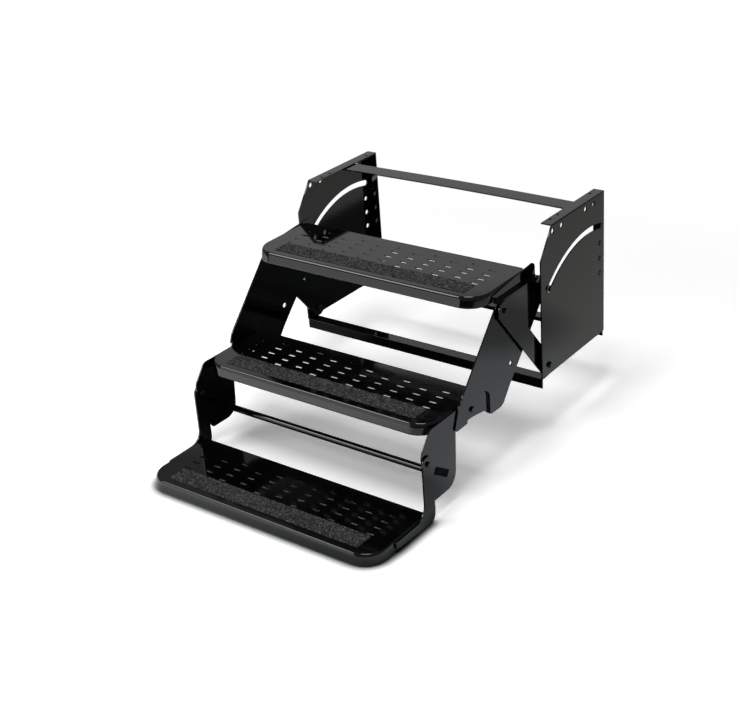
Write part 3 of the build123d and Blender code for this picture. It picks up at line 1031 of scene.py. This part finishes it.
class STEP_OT_fasteners(bpy.types.Operator):
    """Make the pivot bolts, nuts and guide rollers"""

    bl_idname = "step.fasteners"
    bl_label = "Bolts and rollers"

    def execute(self, context):
        sizes, finish = settings(context)
        steel = zinc(finish)
        black = coat(finish)
        flats, height, shank = sizes.head_flats, sizes.head_height, sizes.shank_radius
        flange, plate = sizes.flange_radius, sizes.flange_thickness
        chamfer = 0.0003

        def middle(node):
            low, high = box_of(node)
            return (high.x, (low.y + high.y) / 2.0, (low.z + high.z) / 2.0)

        def washer(bm):
            seat = -height
            ease = 0.0004
            turned(
                bm,
                (
                    (seat - plate, flange - ease),
                    (seat - plate + chamfer, flange),
                    (seat - chamfer, flange),
                    (seat, flange - ease),
                ),
            )

        def bolt(length, shoulder=None, flanged=False):
            def build(bm):
                seat = -height
                end = seat - length
                ease = 0.0005
                hexagon_head(bm, seat, height, flats)
                if flanged:
                    washer(bm)
                turned(bm, ((end, shank - ease), (end + ease, shank), (seat, shank)))
                if shoulder:
                    near, far = shoulder
                    turned(bm, ((near, flange - chamfer), (near + chamfer, flange), (far, flange)))

            return build

        def nut(bm):
            hexagon = 0.0032
            crown = sizes.nut_height
            hexagon_head(bm, 0.0, hexagon, sizes.nut_flats)
            turned(
                bm,
                (
                    (hexagon, 0.0048),
                    (crown - 0.0007, 0.0044),
                    (crown - 0.0001, 0.0030),
                    (crown, 0.0012),
                ),
            )
            for vert in bm.verts:
                vert.co.x = -vert.co.x

        def wheel(bm):
            width, radius, ease = 0.004, 0.006, 0.0004
            rim = ((-width, radius - ease), (-width + ease, radius), (-ease, radius), (0.0, radius - ease))
            turned(bm, rim, 36)

        # Each pair: what it is, its shape, turn about its axis, material and body
        for piece, build, turn, material, body in (
            ("link_foot_bolts", bolt(0.0136, (-0.0144, -0.0082), True), 0.2, black, "frame"),
            ("link_head_bolts", bolt(0.0098, (-0.0108, -0.0072)), 0.4, black, "carriage"),
            ("roller_bolts", bolt(0.0207, (-0.0217, -0.0092)), 0.3, black, "carriage"),
            ("roller_flanges", washer, 0.0, steel, "carriage"),
            ("middle_pivot_bolts", bolt(0.0064), 0.1, black, "carriage"),
            ("bottom_pivot_bolts", bolt(0.0073), 0.5, black, "middle_stage"),
            ("slot_rollers", wheel, 0.0, steel, "carriage"),
            ("link_foot_nuts", nut, 0.25, black, "frame"),
            ("link_head_nuts", nut, 0.25, black, "carriage"),
            ("roller_nuts", nut, 0.25, black, "carriage"),
            ("middle_pivot_nuts", nut, 0.25, black, "carriage"),
            ("bottom_pivot_nuts", nut, 0.25, black, "middle_stage"),
        ):
            # The flanges sit on the roller bolts; every other pair takes the place of its node
            flanges = piece == "roller_flanges"
            centre = middle("roller_bolts" if flanges else piece)
            nodes = [] if flanges else [piece]
            fastener(piece + "_turned", build, centre, turn, material, body, nodes)
        return {"FINISHED"}


class STEP_OT_weld_beads(bpy.types.Operator):
    """Weld the cross angles to the frame plates and the rod to the hook plates"""

    bl_idname = "step.weld_beads"
    bl_label = "Weld beads"

    def execute(self, context):
        sizes, finish = settings(context)
        paths = []
        inset = 0.003
        x = box_of("frame_plate_right")[1].x - inset
        for node in ("front_cross_angle", "rear_cross_angle"):
            low, high = box_of(node)
            for side in (-1.0, 1.0):
                paths.append([(side * x, y, high.z) for y in (low.y + inset, high.y - inset)])
        self.lay("angle_welds", paths, "frame", sizes, finish, ANGLE_WELD_SEED)
        low, high = box_of("cross_rod")
        y, z, r = (low.y + high.y) / 2.0, (low.z + high.z) / 2.0, (high.z - low.z) / 2.0
        rings = []
        sink = 0.0004
        turn = [math.tau * i / ROD_WELD_STEPS for i in range(ROD_WELD_STEPS + 1)]
        for x in (sink - high.x, high.x - sink):
            rings.append([(x, y + r * math.cos(a), z + r * math.sin(a)) for a in turn])
        self.lay("rod_welds", rings, "middle_stage", sizes, finish, ROD_WELD_SEED)
        return {"FINISHED"}

    def lay(self, name, paths, body, sizes, finish, seed):
        """Lay beads along paths of points, as one piece."""
        bm = bmesh.new()
        for path in paths:
            verts = [bm.verts.new(point) for point in path]
            for first, second in zip(verts, verts[1:]):
                bm.edges.new((first, second))
        thing = mesh_object(name, bm)
        run_tree(
            thing,
            bead_tree(),
            {
                "Ripple Pitch": sizes.bead_pitch,
                "Bead Size": sizes.bead_size,
                "Seed": seed,
                "Material": coat(finish),
            },
        )
        smooth_by_angle(thing, 60.0)
        finish_piece(thing, None, body, [])


class STEP_OT_studio(bpy.types.Operator):
    """Set the pale floor, the soft lights and the camera"""

    bl_idname = "step.studio"
    bl_label = "Studio"

    def execute(self, context):
        finish = settings(context)[1]
        self.floor(finish)
        self.lights()
        self.world()
        self.camera(context)
        context.scene.view_settings.view_transform = "Standard"
        return {"FINISHED"}

    def floor(self, finish):
        """White paper with painted contact shadow for the camera, and a floor with painted shade and a
        painted glow for what lights and mirrors the step.
        """
        bm = bmesh.new()
        reach, gap = 30.0, 0.0005
        level = CAD_BOX[0].z - gap
        corners = ((-reach, -reach), (reach, -reach), (reach, reach), (-reach, reach))
        bm.faces.new([bm.verts.new((x, y, level)) for x, y in corners])
        thing = mesh_object("studio_floor", bm)
        material, m, output, where = new_material("studio_floor_paper")
        place = m.add("ShaderNodeSeparateXYZ", None, {0: where})
        x, y = m.out(place, "X"), m.out(place, "Y")
        # The floor as lit and mirrored rays find it: paler in front, with painted shade between and behind
        # the sides, round patches of painted shadow, and dark far in front
        across = m.remap(x * x, 0.078, 0.098, 1.0, 0.0)
        along = m.remap(y, -0.80, -0.62, 0.0, 1.0) * m.remap(y, 0.95, 1.25, 1.0, 0.0)
        cool = m.remap(y, 0.35, -0.05, 0.0, 1.0)
        pale = m.blend_colour(cool, tuple(finish.floor_tone), tuple(finish.floor_cool))
        ahead = m.remap(y, -2.1, -1.5, 1.0, 0.0)
        # Painted cast shadow in round patches, found only by lit and mirrored rays
        outside_painted_shadow = 1.0
        for middle_x, middle_y, inner, outer, depth in PAINTED_SHADOW_PATCHES:
            outside_painted_shadow = outside_painted_shadow - depth * self.patch(m, x, y, middle_x, middle_y, inner, outer)
        shade = 1.0 - (1.0 - across * along) * (1.0 - ahead) * outside_painted_shadow
        unseen = m.blend_colour(shade, pale, tuple(finish.floor_shade))
        # The floor as the camera sees it: plain paper, with painted contact shadow close round what stands
        # on it
        paper = m.blend_colour(m.noise(where, 3.0, 4.0), tuple(finish.floor_colour), grey(0.94))
        # Painted contact shadow: where the step closes in on the floor, the paper blends to the floor
        # shade
        clear = m.remap(self.openness(m, CONTACT_REACH, 12), 0.60, 0.99, 0.0, 1.0)
        paper = m.blend_colour(clear, tuple(finish.floor_shade), paper)
        path = m.add("ShaderNodeLightPath")
        seen, mirrored = m.out(path, "Is Camera Ray"), m.out(path, "Is Glossy Ray")
        tone = m.blend_colour(seen, unseen, paper)
        surface = m.add("ShaderNodeBsdfPrincipled", None, {"Base Color": tone, "Roughness": 0.9})
        surface.inputs["Specular IOR Level"].default_value = 0.0
        white = m.add("ShaderNodeEmission", None, {"Color": grey(1.0), "Strength": 1.0})
        far = (x * x + (y + 0.25) * (y + 0.25)).power(0.5)
        fade = seen * m.remap(far, 0.9, 1.4, 0.0, 1.0)
        # Painted shade: the paper's lift for the camera fades under and beside the step, where less air is
        # open above the floor
        air = self.openness(m, AIR_REACH, 8)
        # Painted reflection light: the floor glows at the front left for mirrored rays only, which
        # brightens the treads' lips
        painted_mirror_glow = m.remap(x, 0.16, -0.35, 0.0, 0.9) * m.remap(y, -0.60, -0.76, 0.0, 1.0) * (1.0 - ahead)
        lit = PAPER_LIFT * (seen * air * clear) + mirrored * painted_mirror_glow
        lift = m.add("ShaderNodeEmission", None, {"Color": lit, "Strength": 1.0})
        bright = m.add("ShaderNodeAddShader", None, {0: m.out(surface), 1: m.out(lift)})
        mix = m.add("ShaderNodeMixShader", None, {0: fade, 1: m.out(bright), 2: m.out(white)})
        m.plug(output.inputs[0], m.out(mix))
        thing.data.materials.append(material)

    def openness(self, m, reach, samples):
        """How open the floor is to the air above it within a reach."""
        node = m.add("ShaderNodeAmbientOcclusion", {"samples": samples}, {"Distance": reach})
        return m.out(node, "AO")

    def patch(self, m, x, y, middle_x, middle_y, inner, outer):
        """One in the middle of a round patch of the floor, and none beyond it."""
        along, across = x - middle_x, y - middle_y
        return m.remap((along * along + across * across).power(0.5), inner, outer, 1.0, 0.0)

    def lights(self):
        """Hang the soft lights; the camera doesn't see them."""
        for name, spot, target, width, height, power in SOFTBOXES:
            self.softbox(name, spot, target, width, height, power)

    def softbox(self, name, spot, target, width, height, power):
        light = bpy.data.lights.new(name, "AREA")
        light.shape = "RECTANGLE"
        light.size = width
        light.size_y = height
        light.energy = power
        thing = bpy.data.objects.new(name, light)
        bpy.context.scene.collection.objects.link(thing)
        thing.location = spot
        aim = Vector(target) - Vector(spot)
        thing.rotation_mode = "QUATERNION"
        thing.rotation_quaternion = aim.to_track_quat("-Z", "Y")
        thing.visible_camera = False

    def world(self):
        """A dim air that lights the step, white where the camera looks past it."""
        world = bpy.data.worlds.new("studio_air")
        bpy.context.scene.world = world
        world.use_nodes = True
        world.node_tree.nodes.clear()
        m = Maker(world.node_tree)
        output = m.add("ShaderNodeOutputWorld")
        path = m.add("ShaderNodeLightPath")
        air = m.add("ShaderNodeBackground", None, {"Color": grey(1.0), "Strength": WORLD_FILL})
        seen = m.add("ShaderNodeBackground", None, {"Color": grey(1.0), "Strength": 1.0})
        mirrored = MIRRORED_SHARE * m.out(path, "Is Glossy Ray")
        shown = m.out(path, "Is Camera Ray") + m.out(path, "Is Transmission Ray") + mirrored
        mix = m.add("ShaderNodeMixShader", None, {0: shown, 1: m.out(air), 2: m.out(seen)})
        m.plug(output.inputs[0], m.out(mix))

    def camera(self, context):
        """The camera fitted to the photograph."""
        azimuth, elevation, roll = (math.radians(angle) for angle in CAMERA_ANGLES)
        level = math.cos(elevation)
        back = Vector((math.sin(azimuth) * level, -math.cos(azimuth) * level, math.sin(elevation)))
        right = Vector((math.cos(azimuth), math.sin(azimuth), 0.0))
        up = back.cross(right)
        side = right * math.cos(roll) + up * math.sin(roll)
        rise = up * math.cos(roll) - right * math.sin(roll)
        width, height = PHOTO_SIZE
        centre_x, centre_y = CENTRE_PIXEL
        camera = bpy.data.cameras.new("photo_camera")
        camera.sensor_width = 36.0
        camera.sensor_fit = "HORIZONTAL"
        camera.lens = FOCAL_PIXELS / width * camera.sensor_width
        camera.shift_x = (width / 2.0 - centre_x) / width
        camera.shift_y = (centre_y - height / 2.0) / width
        thing = bpy.data.objects.new("photo_camera", camera)
        context.scene.collection.objects.link(thing)
        turn = Matrix((side, rise, back)).transposed()
        thing.matrix_world = Matrix.Translation(CAMERA_PLACE) @ turn.to_4x4()
        context.scene.camera = thing


PIECES = (
    STEP_OT_tread_pans,
    STEP_OT_grip_strips,
    STEP_OT_sheet_parts,
    STEP_OT_top_strap,
    STEP_OT_fasteners,
    STEP_OT_weld_beads,
    STEP_OT_studio,
)


class STEP_PT_panel(bpy.types.Panel):
    """Lists the pieces of the step with its sizes and finishes"""

    bl_idname = "STEP_PT_panel"
    bl_label = "Entry Step"
    bl_space_type = "VIEW_3D"
    bl_region_type = "UI"
    bl_category = "Entry Step"

    def draw(self, context):
        column = self.layout.column()
        for piece in PIECES:
            column.operator(piece.bl_idname)
        for group in settings(context):
            box = self.layout.box()
            for name in group.__annotations__:
                box.prop(group, name)


CLASSES = (StepSizes, StepFinish, *PIECES, STEP_PT_panel)


def register():
    for item in CLASSES:
        bpy.utils.register_class(item)
    bpy.types.Scene.step_sizes = bpy.props.PointerProperty(type=StepSizes)
    bpy.types.Scene.step_finish = bpy.props.PointerProperty(type=StepFinish)


def unregister():
    del bpy.types.Scene.step_finish
    del bpy.types.Scene.step_sizes
    for item in reversed(CLASSES):
        bpy.utils.unregister_class(item)


def main():
    """Build every piece and the studio."""
    register()
    bpy.ops.step.tread_pans()
    bpy.ops.step.grip_strips()
    bpy.ops.step.sheet_parts()
    bpy.ops.step.top_strap()
    bpy.ops.step.fasteners()
    bpy.ops.step.weld_beads()
    bpy.ops.step.studio()


if __name__ == "__main__":
    main()
